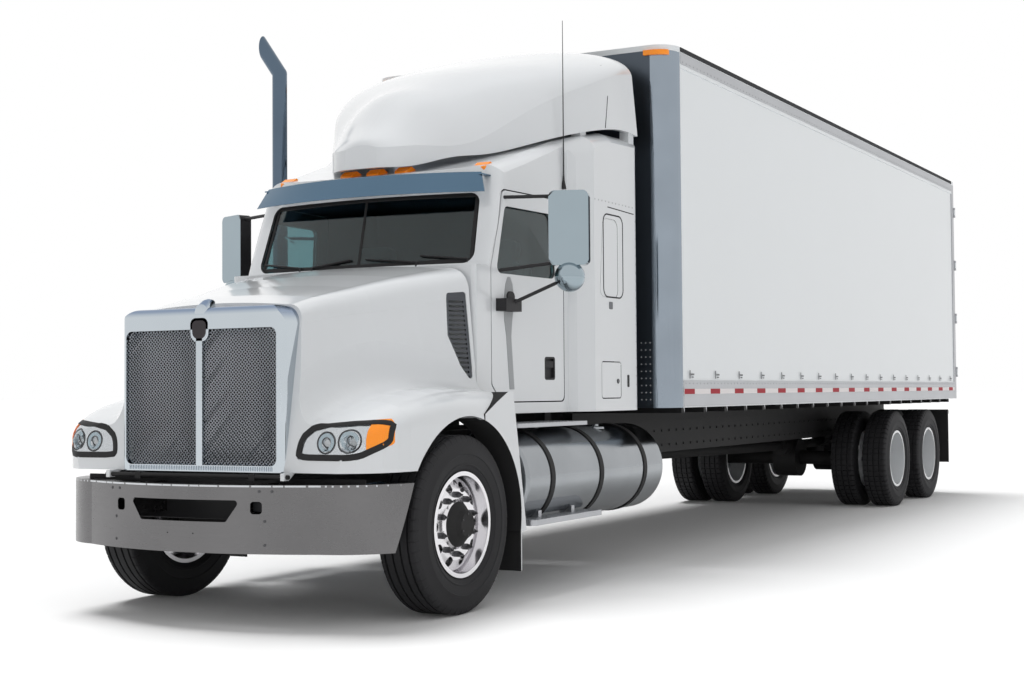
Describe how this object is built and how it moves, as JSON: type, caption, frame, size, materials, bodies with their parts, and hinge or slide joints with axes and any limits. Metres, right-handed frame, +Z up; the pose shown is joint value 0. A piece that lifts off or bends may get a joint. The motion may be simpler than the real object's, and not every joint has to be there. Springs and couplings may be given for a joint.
{
  "type": "three-axle straight truck with sleeper cab and van body",
  "caption": "Long-nosed straight truck with a sleeper cab, roof fairing, polished bumper and tanks, and a white van body on a tandem rear axle",
  "frame": {"origin": "on the ground under the middle of the whole truck", "axes": "+Z up, nose towards -Y, +X towards the truck's own left side"},
  "size_m": [2.9978, 12.123, 3.9163],
  "materials": {
    "white_paint": "gloss",
    "chassis_paint": "satin",
    "cast_dark": "rough",
    "chrome": "polished",
    "polished_alloy": "polished",
    "stainless": "polished",
    "bumper_steel": "satin",
    "tyre_rubber": "matt",
    "black_rubber": "matt",
    "tinted_glass": "clear",
    "amber_lens": "gloss",
    "lamp_lens": "gloss",
    "dark_plastic": "matt",
    "grey_fabric": "matt",
    "deck_wood": "satin",
    "mesh_steel": "satin"
  },
  "bodies": {
    "chassis": {"body_floor": "deck_wood", "body_front_wall": "polished_alloy", "body_roof": "polished_alloy", "body_sides": "white_paint", "cab_shell": "white_paint", "cab_steps": "polished_alloy", "chassis_frame": "chassis_paint", "corner_posts": "stainless", "dashboard": "dark_plastic", "drive_axles": "cast_dark", "drive_shafts": "cast_dark", "engine_block": "cast_dark", "exhaust_stack": "chrome", "fender_extensions": "white_paint", "front_axle": "cast_dark", "front_bumper": "bumper_steel", "front_springs": "chassis_paint", "fuel_tanks": "polished_alloy", "marker_lamps": "amber_lens", "mud_flaps": "black_rubber", "rear_frame": "polished_alloy", "rear_guard": "chassis_paint", "rear_suspension": "chassis_paint", "roof_fairing": "white_paint", "seats": "grey_fabric", "sleeper_bunk": "grey_fabric", "sleeper_shell": "white_paint", "sun_visor": "stainless", "tank_straps": "black_rubber", "windscreen": "tinted_glass"},
    "hood": {"hood_shell": "white_paint", "grille_surround": "chrome", "grille_mesh": "mesh_steel", "headlamps": "lamp_lens", "hood_intakes": "mesh_steel"},
    "door_left": {"door_left_panel": "white_paint", "door_left_glass": "tinted_glass", "door_left_mirror": "chrome"},
    "door_right": {"door_right_panel": "white_paint", "door_right_glass": "tinted_glass", "door_right_mirror": "chrome"},
    "knuckle_left": {"knuckle_left": "cast_dark"},
    "knuckle_right": {"knuckle_right": "cast_dark"},
    "tie_rod": {"tie_rod": "cast_dark"},
    "wheel_front_left": {"tyre_front_left": "tyre_rubber", "wheel_front_left": "polished_alloy"},
    "wheel_front_right": {"tyre_front_right": "tyre_rubber", "wheel_front_right": "polished_alloy"},
    "cargo_door_left": {"cargo_door_left": "white_paint"},
    "cargo_door_right": {"cargo_door_right": "white_paint"},
    "luggage_door_left": {"luggage_door_left": "white_paint"},
    "luggage_door_right": {"luggage_door_right": "white_paint"},
    "wheels_rear_1_left": {"tyres_rear_1_left": "tyre_rubber", "wheels_rear_1_left": "white_paint"},
    "wheels_rear_1_right": {"tyres_rear_1_right": "tyre_rubber", "wheels_rear_1_right": "white_paint"},
    "wheels_rear_2_left": {"tyres_rear_2_left": "tyre_rubber", "wheels_rear_2_left": "white_paint"},
    "wheels_rear_2_right": {"tyres_rear_2_right": "tyre_rubber", "wheels_rear_2_right": "white_paint"}
  },
  "joints": [
    {"name": "steer_left", "type": "hinge", "parent": "chassis", "child": "knuckle_left", "pos_m": [0.89, -5.0065, 0.507], "axis": [0, 0, 1], "range_deg": [-38, 38]},
    {"name": "steer_right", "type": "hinge", "parent": "chassis", "child": "knuckle_right", "pos_m": [-0.89, -5.0065, 0.507], "axis": [0, 0, 1], "range_deg": [-38, 38]},
    {"name": "tie_rod_end", "type": "hinge", "parent": "knuckle_left", "child": "tie_rod", "pos_m": [0.89, -4.8565, 0.381], "axis": [0, 0, 1], "range_deg": [-38, 38]},
    {"name": "spin_front_left", "type": "hinge", "parent": "knuckle_left", "child": "wheel_front_left", "pos_m": [1.01, -5.0065, 0.507], "axis": [1, 0, 0], "continuous": true},
    {"name": "spin_front_right", "type": "hinge", "parent": "knuckle_right", "child": "wheel_front_right", "pos_m": [-1.01, -5.0065, 0.507], "axis": [1, 0, 0], "continuous": true},
    {"name": "spin_rear_1_left", "type": "hinge", "parent": "chassis", "child": "wheels_rear_1_left", "pos_m": [0.925, 3.6375, 0.507], "axis": [1, 0, 0], "continuous": true},
    {"name": "spin_rear_1_right", "type": "hinge", "parent": "chassis", "child": "wheels_rear_1_right", "pos_m": [-0.925, 3.6375, 0.507], "axis": [1, 0, 0], "continuous": true},
    {"name": "spin_rear_2_left", "type": "hinge", "parent": "chassis", "child": "wheels_rear_2_left", "pos_m": [0.925, 4.9575, 0.507], "axis": [1, 0, 0], "continuous": true},
    {"name": "spin_rear_2_right", "type": "hinge", "parent": "chassis", "child": "wheels_rear_2_right", "pos_m": [-0.925, 4.9575, 0.507], "axis": [1, 0, 0], "continuous": true},
    {"name": "door_left_hinge", "type": "hinge", "parent": "chassis", "child": "door_left", "pos_m": [0.975, -4.3505, 1.6], "axis": [0, 0, -1], "range_deg": [0, 70]},
    {"name": "door_right_hinge", "type": "hinge", "parent": "chassis", "child": "door_right", "pos_m": [-0.975, -4.3505, 1.6], "axis": [0, 0, 1], "range_deg": [0, 70]},
    {"name": "hood_tilt", "type": "hinge", "parent": "chassis", "child": "hood", "pos_m": [0, -5.9465, 0.815], "axis": [1, 0, 0], "range_deg": [0, 65]},
    {"name": "cargo_hinge_left", "type": "hinge", "parent": "chassis", "child": "cargo_door_left", "pos_m": [1.302, 6.0275, 2.4], "axis": [0, 0, -1], "range_deg": [0, 250]},
    {"name": "cargo_hinge_right", "type": "hinge", "parent": "chassis", "child": "cargo_door_right", "pos_m": [-1.302, 6.0275, 2.4], "axis": [0, 0, 1], "range_deg": [0, 250]},
    {"name": "luggage_hinge_left", "type": "hinge", "parent": "chassis", "child": "luggage_door_left", "pos_m": [1.12, -3.2215, 1.33], "axis": [0, 0, -1], "range_deg": [0, 100]},
    {"name": "luggage_hinge_right", "type": "hinge", "parent": "chassis", "child": "luggage_door_right", "pos_m": [-1.12, -3.2215, 1.33], "axis": [0, 0, 1], "range_deg": [0, 100]}
  ],
  "couplings": [
    {"joint": "steer_right", "follows": "steer_left", "ratio": 1},
    {"joint": "tie_rod_end", "follows": "steer_left", "ratio": -1}
  ]
}
